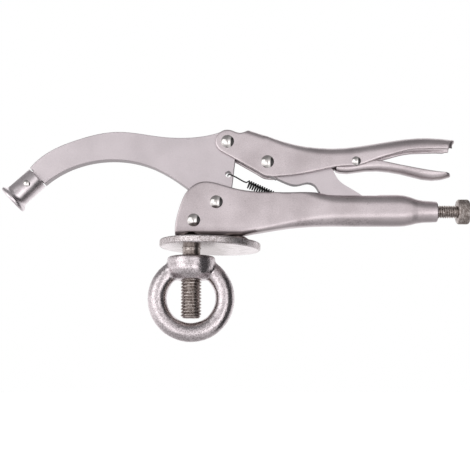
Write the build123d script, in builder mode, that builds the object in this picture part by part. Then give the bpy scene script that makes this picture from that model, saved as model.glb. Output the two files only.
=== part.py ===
from build123d import *
import os
from math import asin, atan2, cos, degrees, hypot, radians, sin

# Table-mount locking clamp: a toggle plier with a curved jaw arm, held to a bench by an
# eccentric disc, a stud and an eye nut.  Millimetres, +Z up, +X towards the adjusting
# knob.  The origin is on the stud axis, in the plane of the disc's underside.

os.makedirs("parts", exist_ok=True)

# ---- driving dimensions ---------------------------------------------------------------
SHEET = 2.0                      # pressed-steel sheet of both handles
CHEEK_OUT = 6.1                  # outer face of the flat cheeks, from the mid-plane
CHEEK_IN = CHEEK_OUT - SHEET     # inner face of the flat cheeks
ARM_HALF = 3.8                   # half thickness of the jaw arm
LINK_HALF = 3.5                  # half thickness of the toggle link
PIN_FIT = 0.05                   # radial gap of a rivet in the piece it is set in
RUN_FIT = 0.1                    # radial gap of a rivet in the piece that turns on it

JAW_PIVOT = (15.5, 28.5)         # jaw arm on lower handle (x, z)
TOP_PIVOT = (22.5, 67.0)         # upper handle on jaw arm
LINK_PIVOT = (47.5, 54.0)        # toggle link on upper handle
BASE_PIVOT = (1.5, 17.0)         # rivet that holds the stud block
LEVER_PIVOT = (103.0, 54.2)      # release lever in the upper handle
PAD_PIVOT = (-102.5, 39.9)       # swivel pad on the arm's tongue
SPRING_EYE = (23.0, 46.4)        # hole for the spring in the jaw arm
SPRING_TAB = (67.0, 26.4)        # hole for the spring in the lower handle's tab

RIVET_R = 3.0
RIVET_HEAD_R = 4.1
RIVET_HEAD_H = 1.7
LEVER_RIVET_R = 2.0
LEVER_HEAD_R = 2.85
PAD_RIVET_R = 1.5
PAD_HEAD_R = 2.5

SCREW_Z = 23.0                   # axis of the adjusting screw
SCREW_R = 3.97                   # 5/16 in thread, major radius
SCREW_TIP_X = 117.4
NECK_END_X = 153.9
KNOB_X = 166.2
KNOB_R = 7.8
KNOB_LENGTH = 7.7

STUD_R = 6.35                    # 1/2 in thread, major radius
STUD_NECK_R = 5.55
STUD_END_Z = -43.6
BELLY_Z = 7.5                    # underside of the lower handle's flat belly

DISC_R = 31.5
DISC_THICK = 4.5
DISC_OFFSET = 11.5               # disc centre from the stud axis, so it is eccentric
DISC_TILT = 2.4                  # degrees, knob side lower
DISC_HOLE_R = 6.1

EYE_TOP_Z = -5.4
EYE_RING_R = 21.0                # centre circle of the ring
EYE_TUBE_R = 6.0
EYE_RING_Z = -31.4
EYE_HUB_R = 15.0

PAD_AXIS = (cos(radians(42.6)), sin(radians(42.6)))    # from pad face towards the arm


def side_plane(x=0.0, z=0.0):
    """Plane of the side profiles, seen from -Y, with its origin at x, z."""
    return Plane(origin=(x, 0, z), x_dir=(1, 0, 0), z_dir=(0, -1, 0))


def across(x, z):
    """Plane square to X, with its local y upwards, for the handles' cross sections."""
    return Plane(origin=(x, 0, z), x_dir=(0, 1, 0), z_dir=(1, 0, 0))


def save(part, name):
    part.label = name
    export_step(part, f"parts/{name}.step")


# ---- jaw arm --------------------------------------------------------------------------
TONGUE_HALF = 4.2                # half width of the arm's tongue inside the pad
SHOULDER = 7.9                   # shoulder of the tongue, from the pad pivot
ARM_BOSS_R = 6.6                 # round the top pivot, hidden by the handle's nose
ARM_FOOT_R = 10.5                # round the main pivot, inside the lower handle


def on_pad(along, up):
    """Point given along the pad axis and square to it, from the pad pivot."""
    x = PAD_PIVOT[0] + along * PAD_AXIS[0] - up * PAD_AXIS[1]
    z = PAD_PIVOT[1] + along * PAD_AXIS[1] + up * PAD_AXIS[0]
    return (x, z)


with BuildPart() as jaw_arm:
    with BuildSketch(side_plane()):
        with BuildLine():
            top = Spline(on_pad(SHOULDER, 7.1), (-92, 59.3), (-73, 68.2), (-47, 73.6),
                         (-20, 70.5), (-3, 69.8), (16.5, 73.0))
            crown = ThreePointArc(top @ 1, (22.5, TOP_PIVOT[1] + ARM_BOSS_R), (28.9, 68.5))
            edge = Line(crown @ 1, (25.3, 37.8))
            foot = ThreePointArc(edge @ 1, (16.5, JAW_PIVOT[1] - ARM_FOOT_R), (5.2, 31.0))
            root = Spline(foot @ 1, (-6.5, 40.4), (-25, 51.0), (-49, 55.6), (-72, 51.8),
                          on_pad(SHOULDER, -6.9))
            Polyline(root @ 1, on_pad(SHOULDER, -TONGUE_HALF), on_pad(0, -TONGUE_HALF))
            ThreePointArc(on_pad(0, -TONGUE_HALF), on_pad(-TONGUE_HALF, 0),
                          on_pad(0, TONGUE_HALF))
            Polyline(on_pad(0, TONGUE_HALF), on_pad(SHOULDER, TONGUE_HALF), top @ 0)
        make_face()
    extrude(amount=ARM_HALF, both=True)
    chamfer(jaw_arm.faces().sort_by(Axis.Y)[0].outer_wire().edges(), 0.35)
    chamfer(jaw_arm.faces().sort_by(Axis.Y)[-1].outer_wire().edges(), 0.35)
    for pivot, radius in ((JAW_PIVOT, RIVET_R + RUN_FIT), (TOP_PIVOT, RIVET_R + RUN_FIT),
                          (PAD_PIVOT, PAD_RIVET_R + RUN_FIT), (SPRING_EYE, 2.0)):
        with BuildSketch(side_plane(*pivot)):
            Circle(radius)
        extrude(amount=ARM_HALF + 1, both=True, mode=Mode.SUBTRACT)

# ---- swivel pad -----------------------------------------------------------------------
PAD_FACE = -14.2                 # pad face and sleeve mouth, along the axis from the pivot
PAD_MOUTH = 7.1
PAD_SLEEVE_R = 7.5
PAD_BORE_R = 6.2
PAD_FLANGE_R = 9.8
PAD_SEAT = 7.0                   # flats under the rivet's heads, from the mid-plane
PAD_PLANE = Plane(origin=(PAD_PIVOT[0], 0, PAD_PIVOT[1]),
                  x_dir=(PAD_AXIS[0], 0, PAD_AXIS[1]), z_dir=(0, -1, 0))

with BuildPart() as swivel_pad:
    with BuildSketch(PAD_PLANE):
        with BuildLine():
            Polyline((PAD_FACE, 0), (PAD_FACE, PAD_FLANGE_R - 0.6),
                     (PAD_FACE + 0.6, PAD_FLANGE_R), (PAD_FACE + 2.4, PAD_FLANGE_R),
                     (PAD_FACE + 3.2, PAD_FLANGE_R - 0.8))
            ThreePointArc((PAD_FACE + 3.2, PAD_FLANGE_R - 0.8), (PAD_FACE + 3.7, 7.9),
                          (PAD_FACE + 5.4, PAD_SLEEVE_R))
            Polyline((PAD_FACE + 5.4, PAD_SLEEVE_R), (PAD_MOUTH - 0.4, PAD_SLEEVE_R),
                     (PAD_MOUTH, PAD_SLEEVE_R - 0.4), (PAD_MOUTH, PAD_BORE_R),
                     (-8.4, PAD_BORE_R), (-9.6, 0), (PAD_FACE, 0))
        make_face()
    revolve(axis=Axis(PAD_PLANE.origin, PAD_PLANE.x_dir))
    with BuildSketch(PAD_PLANE):
        Circle(PAD_RIVET_R + PIN_FIT)
    extrude(amount=20, both=True, mode=Mode.SUBTRACT)
    for side in (-1, 1):
        with BuildSketch(Plane.XZ.offset(side * PAD_SEAT)):
            with Locations(PAD_PIVOT):
                Circle(PAD_HEAD_R + 0.15)
        extrude(amount=side * 3, mode=Mode.SUBTRACT)


# ---- rivets ---------------------------------------------------------------------------
def rivet(pivot, shank_r, head_r, head_h, seat):
    """Round shank along Y with a domed head on each side, seated at +-seat."""
    tip = seat + head_h
    dome_r = (head_r ** 2 + head_h ** 2) / (2 * head_h)
    half = asin(head_r / dome_r) / 2
    shoulder = (dome_r * sin(half), tip - dome_r * (1 - cos(half)))
    with BuildPart() as pin:
        with BuildSketch(Plane(origin=(pivot[0], 0, pivot[1]), x_dir=(1, 0, 0), z_dir=(0, 0, 1))):
            with BuildLine():
                ThreePointArc((0, -tip), (shoulder[0], -shoulder[1]), (head_r, -seat))
                Polyline((head_r, -seat), (shank_r, -seat), (shank_r, seat), (head_r, seat))
                ThreePointArc((head_r, seat), shoulder, (0, tip))
                Line((0, tip), (0, -tip))
            make_face()
        revolve(axis=Axis((pivot[0], 0, pivot[1]), (0, 1, 0)))
    return pin.part


pad_rivet = rivet(PAD_PIVOT, PAD_RIVET_R, PAD_HEAD_R, 1.1, PAD_SEAT)
handle_rivet = rivet(TOP_PIVOT, RIVET_R, RIVET_HEAD_R, RIVET_HEAD_H, CHEEK_OUT)
link_rivet = rivet(LINK_PIVOT, RIVET_R, RIVET_HEAD_R, RIVET_HEAD_H, CHEEK_OUT)
main_rivet = rivet(JAW_PIVOT, RIVET_R, RIVET_HEAD_R, RIVET_HEAD_H, CHEEK_OUT)
base_rivet = rivet(BASE_PIVOT, RIVET_R, RIVET_HEAD_R, RIVET_HEAD_H, CHEEK_OUT)

# ---- lower handle ---------------------------------------------------------------------
# The flat cheeks end at CHEEK_END_X, where the rounded grip takes over.
CHEEK_END_X = 40.0
BELLY_END_X = 31.0
CHEEK_LOW_Z = 9.3                # underside at the end of the cheeks
# Cross sections of the grip: x, lowest z, highest z, width, corner radius.
GRIP = ((CHEEK_END_X, CHEEK_LOW_Z, 46, 12.2, 2.6), (47, 10.5, 45, 12.3, 3.0),
        (54, 11.6, 43, 12.7, 3.5), (61, 12.6, 41, 13.3, 4.1), (68, 13.3, 38.6, 14.1, 4.8),
        (74, 13.7, 36.6, 14.9, 5.4), (80, 13.9, 34.8, 15.6, 6.0), (87, 14.0, 33.8, 16.2, 6.6),
        (95, 13.9, 33.6, 16.5, 7.1), (110, 13.8, 33.7, 16.6, 7.4), (129, 13.8, 33.7, 16.6, 7.4),
        (133, 14.0, 33.3, 16.4, 7.3), (137, 14.7, 32.3, 15.6, 7.0), (141, 15.7, 30.9, 14.2, 6.7),
        (145, 16.2, 30.1, 13.5, 6.5), (NECK_END_X, 16.5, 29.5, 13.0, 6.4))
HOLLOW = GRIP[:11]               # the sections that are hollow to the full
SLOT_HALF = 4.1                  # open slot along the top of the grip
SLOT_END_X = 118.0
NECK_START_X = 140.0

with BuildPart() as grip:
    for x, low, high, width, corner in GRIP:
        with BuildSketch(across(x, (low + high) / 2)):
            RectangleRounded(width, high - low, corner)
    loft(ruled=True)
    for x, low, high, width, corner in HOLLOW:
        with BuildSketch(across(x, (low + high) / 2)):
            RectangleRounded(width - 2 * SHEET, high - low - 2 * SHEET, max(corner - SHEET, 0.6))
    loft(ruled=True, mode=Mode.SUBTRACT)
    with BuildSketch(across(HOLLOW[-1][0] - 0.5, SCREW_Z)):
        Circle(6.0)
    with BuildSketch(across(NECK_START_X, SCREW_Z)):
        Circle(SCREW_R + 0.08)
    loft(ruled=True, mode=Mode.SUBTRACT)
    with BuildSketch(across(NECK_START_X - 1, SCREW_Z)):
        Circle(SCREW_R + 0.08)
    extrude(amount=20, mode=Mode.SUBTRACT)
    with BuildSketch(Plane.XY.offset(24)):
        SlotOverall(2 * SLOT_END_X, 2 * SLOT_HALF)
    extrude(amount=30, mode=Mode.SUBTRACT)
    # the open stretch is lower than the sections, and steps down to the rolled-in top
    with BuildSketch(side_plane()):
        with BuildLine():
            crest = Spline((CHEEK_END_X - 1, 35.2), (52, 34.6), (78.5, 34.6), tangents=((1, -0.1), (1, 0)))
            step = Spline(crest @ 1, (81.5, 34.2), (86, 32.6), tangents=((1, 0), (1, -0.3)))
            Polyline(step @ 1, (88, 55), (CHEEK_END_X - 1, 55), crest @ 0)
        make_face()
    extrude(amount=20, both=True, mode=Mode.SUBTRACT)

with BuildPart() as lower_handle:
    with BuildSketch(side_plane()):
        with BuildLine():
            Polyline((CHEEK_END_X, 35.1), (CHEEK_END_X, CHEEK_LOW_Z), (BELLY_END_X, BELLY_Z),
                     (-10.2, BELLY_Z), (-10.2, 11))
            front = Spline((-10.2, 11), (-8.9, 20), (-6.3, 28.5), (-2.2, 36), (3.2, 40.2),
                           (9.5, 41.4), tangents=((0, 1), (1, 0)))
            Spline(front @ 1, (16.5, 40.2), (27, 37.2), (CHEEK_END_X, 35.1),
                   tangents=((1, 0), (1, -0.1)))
        make_face()
    extrude(amount=CHEEK_OUT, both=True)
    belly_edges = lower_handle.edges().filter_by(lambda e: e.center().Z < 9).filter_by(
        lambda e: abs(e.center().Y) > CHEEK_OUT - 0.01)
    fillet(belly_edges.filter_by(lambda e: e.length > 8), 3.3)
    with BuildSketch(side_plane()):
        Polygon((-12, BELLY_Z + SHEET), (BELLY_END_X, BELLY_Z + SHEET),
                (CHEEK_END_X, CHEEK_LOW_Z + SHEET), (CHEEK_END_X, 52), (-12, 52), align=None)
    extrude(amount=CHEEK_IN, both=True, mode=Mode.SUBTRACT)
    for pivot in (JAW_PIVOT, BASE_PIVOT):
        with BuildSketch(side_plane(*pivot)):
            Circle(RIVET_R + PIN_FIT)
        extrude(amount=20, both=True, mode=Mode.SUBTRACT)
    with BuildSketch(Plane.XY.offset(BELLY_Z - 2)):
        Circle(STUD_NECK_R + 0.1)
    extrude(amount=SHEET + 3, mode=Mode.SUBTRACT)
    add(grip.part)
    # tab that holds the rear end of the spring
    with BuildSketch(side_plane()):
        with BuildLine():
            Polyline((66, 14.2), (66, 26.4))
            ThreePointArc((66, 26.4), (67, 28.9), (68, 26.4))
            Polyline((68, 26.4), (68, 14.2), (66, 14.2))
        make_face()
    extrude(amount=2.4, both=True)
    with BuildSketch(across(SPRING_TAB[0], SPRING_TAB[1] - 0.2)):
        Circle(1.0)
    extrude(amount=4, both=True, mode=Mode.SUBTRACT)

# ---- upper handle ---------------------------------------------------------------------
# The flat nose ends at NOSE_END_X, where the rounded back takes over.
NOSE_END_X = 46.0
NOTCH_X = 34.9                   # front edge of the closed back
NOSE_R = 7.6
# Cross sections of the closed back: x, highest z, width, corner radius.
BACK = ((NOSE_END_X, 71.5, 12.2, 3.0), (53, 69.1, 12.2, 3.7), (58, 67.5, 12.5, 4.2),
        (65, 65.7, 12.9, 4.7), (72, 64.4, 13.2, 5.2), (80, 63.6, 13.5, 5.5), (88, 63.3, 13.8, 5.8),
        (96, 63.6, 14.1, 6.0), (103, 64.4, 14.4, 6.2), (111, 65.6, 14.7, 6.3),
        (118, 66.8, 15.0, 6.4), (126, 68.1, 15.2, 6.5), (134, 69.2, 15.4, 6.6),
        (142, 69.9, 15.6, 6.6), (149, 70.0, 15.6, 6.6), (157, 69.5, 15.4, 6.4), (168, 68.2, 15.0, 6.2))
BACK_DEPTH = 30.0
NOSE_CROWN_Z = 75.2              # crown of the back at the notch

with BuildPart() as back:
    for x, high, width, corner in BACK:
        with BuildSketch(across(x, high - BACK_DEPTH / 2)):
            RectangleRounded(width, BACK_DEPTH, corner)
    loft(ruled=True)
    for x, high, width, corner in BACK:
        with BuildSketch(across(x, high - SHEET - BACK_DEPTH / 2)):
            RectangleRounded(width - 2 * SHEET, BACK_DEPTH, max(corner - SHEET, 0.6))
    loft(ruled=True, mode=Mode.SUBTRACT)
    # the lower edges of the cheeks
    with BuildSketch(side_plane()):
        with BuildLine():
            belly = Spline((NOSE_END_X - 1, 45.2), (50, 44.5), (56, 44.7), (73, 46.9), (86, 49.8),
                           (94, 50.9), (103, 51.3), (113, 54.4), (127, 58.9), (140, 61.5),
                           (153, 62.0), (170, 61.4), tangents=((1, -0.25), (1, -0.1)))
            Polyline(belly @ 1, (170, 30), (NOSE_END_X - 1, 30), belly @ 0)
        make_face()
    extrude(amount=20, both=True, mode=Mode.SUBTRACT)
    # the tail is round in plan
    with BuildSketch(Plane.XY.offset(50)):
        with BuildLine():
            Polyline((160.5, 12), (172, 12), (172, -12), (160.5, -12), (160.5, -7.8))
            ThreePointArc((160.5, -7.8), (165.8, 0), (160.5, 7.8))
            Line((160.5, 7.8), (160.5, 12))
        make_face()
    extrude(amount=40, mode=Mode.SUBTRACT)

with BuildPart() as upper_handle:
    with BuildSketch(side_plane()):
        with BuildLine():
            nose = ThreePointArc((23.5, 74.6), (TOP_PIVOT[0] - NOSE_R, TOP_PIVOT[1]), (18.2, 60.8))
            under = Line(nose @ 1, (41.2, 47.7))
            chin = Spline(under @ 1, (NOSE_END_X, 45.0), tangents=((1.75, -1), (1, -0.25)))
            Polyline(chin @ 1, (NOSE_END_X, BACK[0][1]), (NOTCH_X, NOSE_CROWN_Z), (NOTCH_X, 74.6))
            Spline((NOTCH_X, 74.6), (33.4, 73.4), (30.5, 72.6), (27.5, 73.2), (23.5, 74.6),
                   tangents=((-0.5, -1), (-1, 0.25)))
        make_face()
    extrude(amount=CHEEK_OUT, both=True)
    crown_edges = upper_handle.edges().filter_by(
        lambda e: NOTCH_X < e.center().X < NOSE_END_X - 1 and e.center().Z > 72 and e.length > 8)
    fillet(crown_edges, 3.8)
    with BuildSketch(side_plane()):
        Polygon((8, 38), (NOSE_END_X, 38), (NOSE_END_X, BACK[0][1] - SHEET),
                (NOTCH_X, NOSE_CROWN_Z - SHEET), (NOTCH_X, 80), (8, 80), align=None)
    extrude(amount=CHEEK_IN, both=True, mode=Mode.SUBTRACT)
    add(back.part)
    for pivot, radius in ((TOP_PIVOT, RIVET_R), (LINK_PIVOT, RIVET_R), (LEVER_PIVOT, LEVER_RIVET_R)):
        with BuildSketch(side_plane(*pivot)):
            Circle(radius + PIN_FIT)
        extrude(amount=20, both=True, mode=Mode.SUBTRACT)

# ---- release lever --------------------------------------------------------------------
# Cross sections of the trough: x, lowest z, width, corner radius.
TROUGH = ((89, 49.3, 9.4, 2.4), (93, 47.9, 9.4, 2.8), (98, 47.5, 9.4, 3.2), (104, 48.3, 9.4, 3.4),
          (110, 49.0, 9.5, 3.7), (117, 49.1, 9.7, 3.9), (124, 48.4, 10.1, 4.2), (131, 47.2, 10.5, 4.4),
          (138, 45.4, 10.8, 4.6), (145, 43.6, 11.0, 4.8), (151, 43.0, 11.0, 4.8),
          (157, 43.5, 11.0, 4.8), (165, 45.8, 10.8, 4.6))
TROUGH_DEPTH = 20.0
LEVER_SHEET = 1.5
LEVER_SEAT = 7.3                 # outer face of the upper handle at the lever's rivet

with BuildPart() as release_lever:
    for x, low, width, corner in TROUGH:
        with BuildSketch(across(x, low + TROUGH_DEPTH / 2)):
            RectangleRounded(width, TROUGH_DEPTH, corner)
    loft(ruled=True)
    for x, low, width, corner in TROUGH:
        with BuildSketch(across(x, low + LEVER_SHEET + TROUGH_DEPTH / 2)):
            RectangleRounded(width - 2 * LEVER_SHEET, TROUGH_DEPTH, max(corner - LEVER_SHEET, 0.8))
    loft(ruled=True, mode=Mode.SUBTRACT)
    with BuildSketch(side_plane()):
        with BuildLine():
            toe = Polyline((90.6, 40), (90.6, 50.6))
            ear = ThreePointArc((90.6, 50.6), (92.4, 53.4), (97.5, 54.8))
            boss = ThreePointArc((97.5, 54.8), (103.5, 58.2), (108.6, 56.8))
            rim = Spline(boss @ 1, (118, 55.2), (130, 52.6), (145, 49.6), (156, 47.9), (162.5, 47.5))
            Polyline(rim @ 1, (163.0, 40), (90.6, 40))
        make_face()
    extrude(amount=12, both=True, mode=Mode.INTERSECT)
    with BuildSketch(Plane.XY.offset(30)):
        with BuildLine():
            Polyline((158.5, 9), (80, 9), (80, -9), (158.5, -9), (158.5, -5.6))
            ThreePointArc((158.5, -5.6), (162.8, 0), (158.5, 5.6))
            Line((158.5, 5.6), (158.5, 9))
        make_face()
    extrude(amount=40, mode=Mode.INTERSECT)
    with BuildSketch(side_plane(*LEVER_PIVOT)):
        Circle(LEVER_RIVET_R + RUN_FIT)
    extrude(amount=12, both=True, mode=Mode.SUBTRACT)

lever_rivet = rivet(LEVER_PIVOT, LEVER_RIVET_R, LEVER_HEAD_R, 1.3, LEVER_SEAT)

# ---- toggle link ----------------------------------------------------------------------
with BuildPart() as toggle_link:
    with BuildSketch(side_plane()):
        with BuildLine():
            head = ThreePointArc((44.2, 47.9), (42.0, 58.3), (50.5, 60.2))
            back = Spline(head @ 1, (66, 56.6), (80, 54.2), (86.6, 51.6), (91.8, 43.2), (98, 38.3),
                          (106.5, 33.0), tangents=((1, -0.12), (1, -0.7)))
            Line(back @ 1, (113.0, 26.2))
            ThreePointArc((113.0, 26.2), (113.3, 23.0), (111.6, 20.2))
            shin = Spline((111.6, 20.2), (103, 20.4), (92, 25.5), (79.6, 36.0),
                          tangents=((-1, -0.2), (-0.6, 1)))
            Spline(shin @ 1, (77.2, 39.6), (72.5, 41.2), (68.5, 40.3), (64.6, 39.8), (61, 40.6),
                   (52, 44.6), (44.2, 47.9), tangents=((-0.5, 1), (-1, 0.5)))
        make_face()
    extrude(amount=LINK_HALF, both=True)
    with BuildSketch(side_plane(*LINK_PIVOT)):
        Circle(RIVET_R + RUN_FIT)
    extrude(amount=20, both=True, mode=Mode.SUBTRACT)

# ---- adjusting screw and knob ---------------------------------------------------------
SCREW_SPIGOT_R = 3.0             # plain end that carries the knob
with BuildPart() as adjusting_screw:
    with BuildSketch(side_plane(0, SCREW_Z)):
        with BuildLine():
            Polyline((SCREW_TIP_X, 0), (SCREW_TIP_X, 2.6))
            ThreePointArc((SCREW_TIP_X, 2.6), (SCREW_TIP_X + 0.4, 3.5), (SCREW_TIP_X + 1.4, SCREW_R))
            Polyline((SCREW_TIP_X + 1.4, SCREW_R), (KNOB_X - 0.05, SCREW_R),
                     (KNOB_X - 0.05, SCREW_SPIGOT_R), (KNOB_X + KNOB_LENGTH - 0.9, SCREW_SPIGOT_R),
                     (KNOB_X + KNOB_LENGTH - 0.9, 0), (SCREW_TIP_X, 0))
        make_face()
    revolve(axis=Axis((0, 0, SCREW_Z), (1, 0, 0)))

with BuildPart() as adjusting_knob:
    with BuildSketch(across(KNOB_X, SCREW_Z)):
        Circle(KNOB_R)
        Circle(SCREW_SPIGOT_R + PIN_FIT, mode=Mode.SUBTRACT)
    extrude(amount=KNOB_LENGTH)
    rims = adjusting_knob.edges().filter_by(GeomType.CIRCLE).filter_by(lambda e: e.radius > 7)
    fillet(rims, 1.3)

# ---- return spring --------------------------------------------------------------------
WIRE_R = 0.45
COIL_R = 2.3                     # centre line of the wire
COIL_START = 13.6                # along the spring, from the eye in the arm
COIL_END = 42.6
span = hypot(SPRING_TAB[0] - SPRING_EYE[0], SPRING_TAB[1] - SPRING_EYE[1])
tilt = degrees(atan2(SPRING_TAB[1] - SPRING_EYE[1], SPRING_TAB[0] - SPRING_EYE[0]))
SPRING_DIR = (cos(radians(tilt)), 0, sin(radians(tilt)))


def along_spring(distance):
    """Point on the spring's centre line, and the plane square to it there."""
    point = (SPRING_EYE[0] + distance * SPRING_DIR[0], 0, SPRING_EYE[1] + distance * SPRING_DIR[2])
    return Plane(origin=point, x_dir=(0, 1, 0), z_dir=SPRING_DIR)


with BuildPart() as return_spring:
    with BuildSketch(along_spring(COIL_START)):
        Circle(COIL_R + WIRE_R)
        Circle(COIL_R - WIRE_R, mode=Mode.SUBTRACT)
    extrude(amount=COIL_END - COIL_START)
    for start, stop in ((6.8, COIL_START + 1), (COIL_END - 1, span - 2.2)):
        with BuildSketch(along_spring(start)):
            Circle(WIRE_R)
        extrude(amount=stop - start)
    for place in (COIL_START, COIL_END - 1):
        with BuildSketch(along_spring(place)):
            Circle(COIL_R)
        extrude(amount=1)

# ---- stud block, stud, disc and foot --------------------------------------------------
with BuildPart() as stud_block:
    with BuildSketch(side_plane()):
        with BuildLine():
            Polyline((-7.5, BELLY_Z + SHEET), (7.5, BELLY_Z + SHEET), (7.5, 17.0))
            ThreePointArc((7.5, 17.0), (1.5, 22.4), (-7.0, 18.5))
            Line((-7.0, 18.5), (-7.5, BELLY_Z + SHEET))
        make_face()
    extrude(amount=CHEEK_IN - 0.05, both=True)
    with BuildSketch(side_plane(*BASE_PIVOT)):
        Circle(RIVET_R + PIN_FIT)
    extrude(amount=20, both=True, mode=Mode.SUBTRACT)
    with BuildSketch(Plane.XY.offset(BELLY_Z)):
        Circle(3.0 + PIN_FIT)
    extrude(amount=6.0, mode=Mode.SUBTRACT)

COLLAR_LOW = 5.1
with BuildPart() as stud:
    with BuildSketch(side_plane()):
        Polygon((0, STUD_END_Z), (STUD_R - 1.2, STUD_END_Z), (STUD_R, STUD_END_Z + 1.4),
                (STUD_R, EYE_TOP_Z - 1.0), (STUD_NECK_R, EYE_TOP_Z), (STUD_NECK_R, COLLAR_LOW),
                (8.0, COLLAR_LOW), (8.0, BELLY_Z - 0.05), (STUD_NECK_R, BELLY_Z - 0.05),
                (STUD_NECK_R, BELLY_Z + SHEET - 0.05), (3.0, BELLY_Z + SHEET - 0.05),
                (3.0, BELLY_Z + 5.8), (0, BELLY_Z + 5.8), align=None)
    revolve(axis=Axis.Z)

DISC_NORMAL = (sin(radians(DISC_TILT)), 0, cos(radians(DISC_TILT)))
DISC_X = (cos(radians(DISC_TILT)), 0, -sin(radians(DISC_TILT)))
DISC_PLANE = Plane(origin=(0, 0, 0), x_dir=DISC_X, z_dir=DISC_NORMAL)

with BuildPart() as table_disc:
    with BuildSketch(DISC_PLANE):
        with Locations((DISC_OFFSET, 0)):
            Circle(DISC_R)
        Circle(DISC_HOLE_R, mode=Mode.SUBTRACT)
    extrude(amount=DISC_THICK)
    rims = table_disc.edges().filter_by(GeomType.CIRCLE).filter_by(lambda e: e.radius > 20)
    chamfer(rims.sort_by(Axis.Z)[0], 0.7)
    fillet(rims.sort_by(Axis.Z)[-1], 1.0)

FOOT_X = 28.0
with BuildPart() as rear_foot:
    with BuildSketch(side_plane(FOOT_X, 0)):
        with BuildLine():
            Polyline((0, 1.5), (8.6, 1.5), (8.6, 4.0))
            ThreePointArc((8.6, 4.0), (6.8, 6.3), (3.6, BELLY_Z - 0.05))
            Polyline((3.6, BELLY_Z - 0.05), (0, BELLY_Z - 0.05), (0, 1.5))
        make_face()
    revolve(axis=Axis((FOOT_X, 0, 0), (0, 0, 1)))
    split(bisect_by=DISC_PLANE.offset(DISC_THICK + 0.1), keep=Keep.TOP)

# ---- eye nut --------------------------------------------------------------------------
EYE_BORE_R = STUD_R + 0.08
EYE_HUB_LOW_Z = -20.0
with BuildPart() as eye_nut:
    with Locations(Location((0, 0, EYE_RING_Z), (90, 0, 0))):
        Torus(EYE_RING_R, EYE_TUBE_R)
    # the ring is opened inside the hub before the bored hub is added
    with BuildSketch(side_plane()):
        Polygon((-8, EYE_HUB_LOW_Z - 2), (8, EYE_HUB_LOW_Z - 2), (8, 0), (-8, 0), align=None)
    extrude(amount=20, both=True, mode=Mode.SUBTRACT)
    with BuildSketch(side_plane()):
        Polygon((EYE_BORE_R, EYE_TOP_Z), (EYE_HUB_R - 0.8, EYE_TOP_Z), (EYE_HUB_R, EYE_TOP_Z - 0.8),
                (EYE_HUB_R, -13.6), (13.6, -16.6), (9.8, EYE_HUB_LOW_Z), (EYE_BORE_R, EYE_HUB_LOW_Z),
                align=None)
    revolve(axis=Axis.Z)

for name, piece in (("jaw_arm", jaw_arm), ("swivel_pad", swivel_pad), ("lower_handle", lower_handle),
                    ("upper_handle", upper_handle), ("release_lever", release_lever),
                    ("toggle_link", toggle_link), ("adjusting_screw", adjusting_screw),
                    ("adjusting_knob", adjusting_knob), ("return_spring", return_spring),
                    ("stud_block", stud_block), ("stud", stud), ("table_disc", table_disc),
                    ("rear_foot", rear_foot), ("eye_nut", eye_nut)):
    save(piece.part, name)
for name, pin in (("pad_rivet", pad_rivet), ("handle_rivet", handle_rivet), ("link_rivet", link_rivet),
                  ("main_rivet", main_rivet), ("base_rivet", base_rivet), ("lever_rivet", lever_rivet)):
    save(pin, name)
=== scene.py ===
# %% [markdown]
# # A table-mount locking clamp
# This lesson dresses a clamp whose pieces already exist as solids, in metres, each with its
# origin at the world's origin.  We load them, keep every solid whose shape is right, soften
# the pressed ones with modifiers, and build in mesh code what the solids leave plain: screw
# threads, knurling and the coil spring.  Then come the finishes, the light and the camera.

# %% Load the solids
from math import atan2, ceil, cos, floor, pi, radians, sin

import bmesh
import bpy
from mathutils import Matrix, Vector


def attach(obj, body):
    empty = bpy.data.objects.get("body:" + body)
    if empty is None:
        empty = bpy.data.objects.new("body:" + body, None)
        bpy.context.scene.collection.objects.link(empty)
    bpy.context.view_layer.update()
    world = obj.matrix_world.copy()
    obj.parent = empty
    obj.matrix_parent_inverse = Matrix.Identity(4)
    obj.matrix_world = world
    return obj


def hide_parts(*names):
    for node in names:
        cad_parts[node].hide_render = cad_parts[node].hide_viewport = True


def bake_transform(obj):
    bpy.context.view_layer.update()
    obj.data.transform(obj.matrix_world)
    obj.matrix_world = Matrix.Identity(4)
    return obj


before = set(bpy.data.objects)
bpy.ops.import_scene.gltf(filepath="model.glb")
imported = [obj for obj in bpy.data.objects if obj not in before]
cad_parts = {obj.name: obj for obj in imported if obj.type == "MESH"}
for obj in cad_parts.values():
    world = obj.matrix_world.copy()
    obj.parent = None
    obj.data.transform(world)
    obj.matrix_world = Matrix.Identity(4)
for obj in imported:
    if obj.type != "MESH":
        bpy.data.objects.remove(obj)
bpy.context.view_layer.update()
MM = 0.001

# %% [markdown]
# ## Camera first
# The clamp is seen square from its side and a little from below, so the flat plates show
# their undersides as thin dark strips.  A long lens from two thirds of a metre keeps the
# perspective gentle.  The aim point is given from the stud's axis, where the origin is.

# %% Camera
CAMERA_AIM = Vector((27.2, 0.0, 8.4)) * MM
CAMERA_DISTANCE = 644 * MM
CAMERA_TILT = radians(8.3)
LENS_MM = 78.9
SENSOR_MM = 36.0
NEAREST_SEEN = 0.01
camera_data = bpy.data.cameras.new("studio_camera")
camera_data.lens = LENS_MM
camera_data.sensor_width = SENSOR_MM
camera_data.clip_start = NEAREST_SEEN
camera = bpy.data.objects.new("studio_camera", camera_data)
bpy.context.scene.collection.objects.link(camera)
camera.location = CAMERA_AIM - CAMERA_DISTANCE * Vector((0, cos(CAMERA_TILT), sin(CAMERA_TILT)))
camera.rotation_euler = (pi / 2 + CAMERA_TILT, 0, 0)
bpy.context.scene.camera = camera
print("camera at", [round(c, 3) for c in camera.location])

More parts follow.
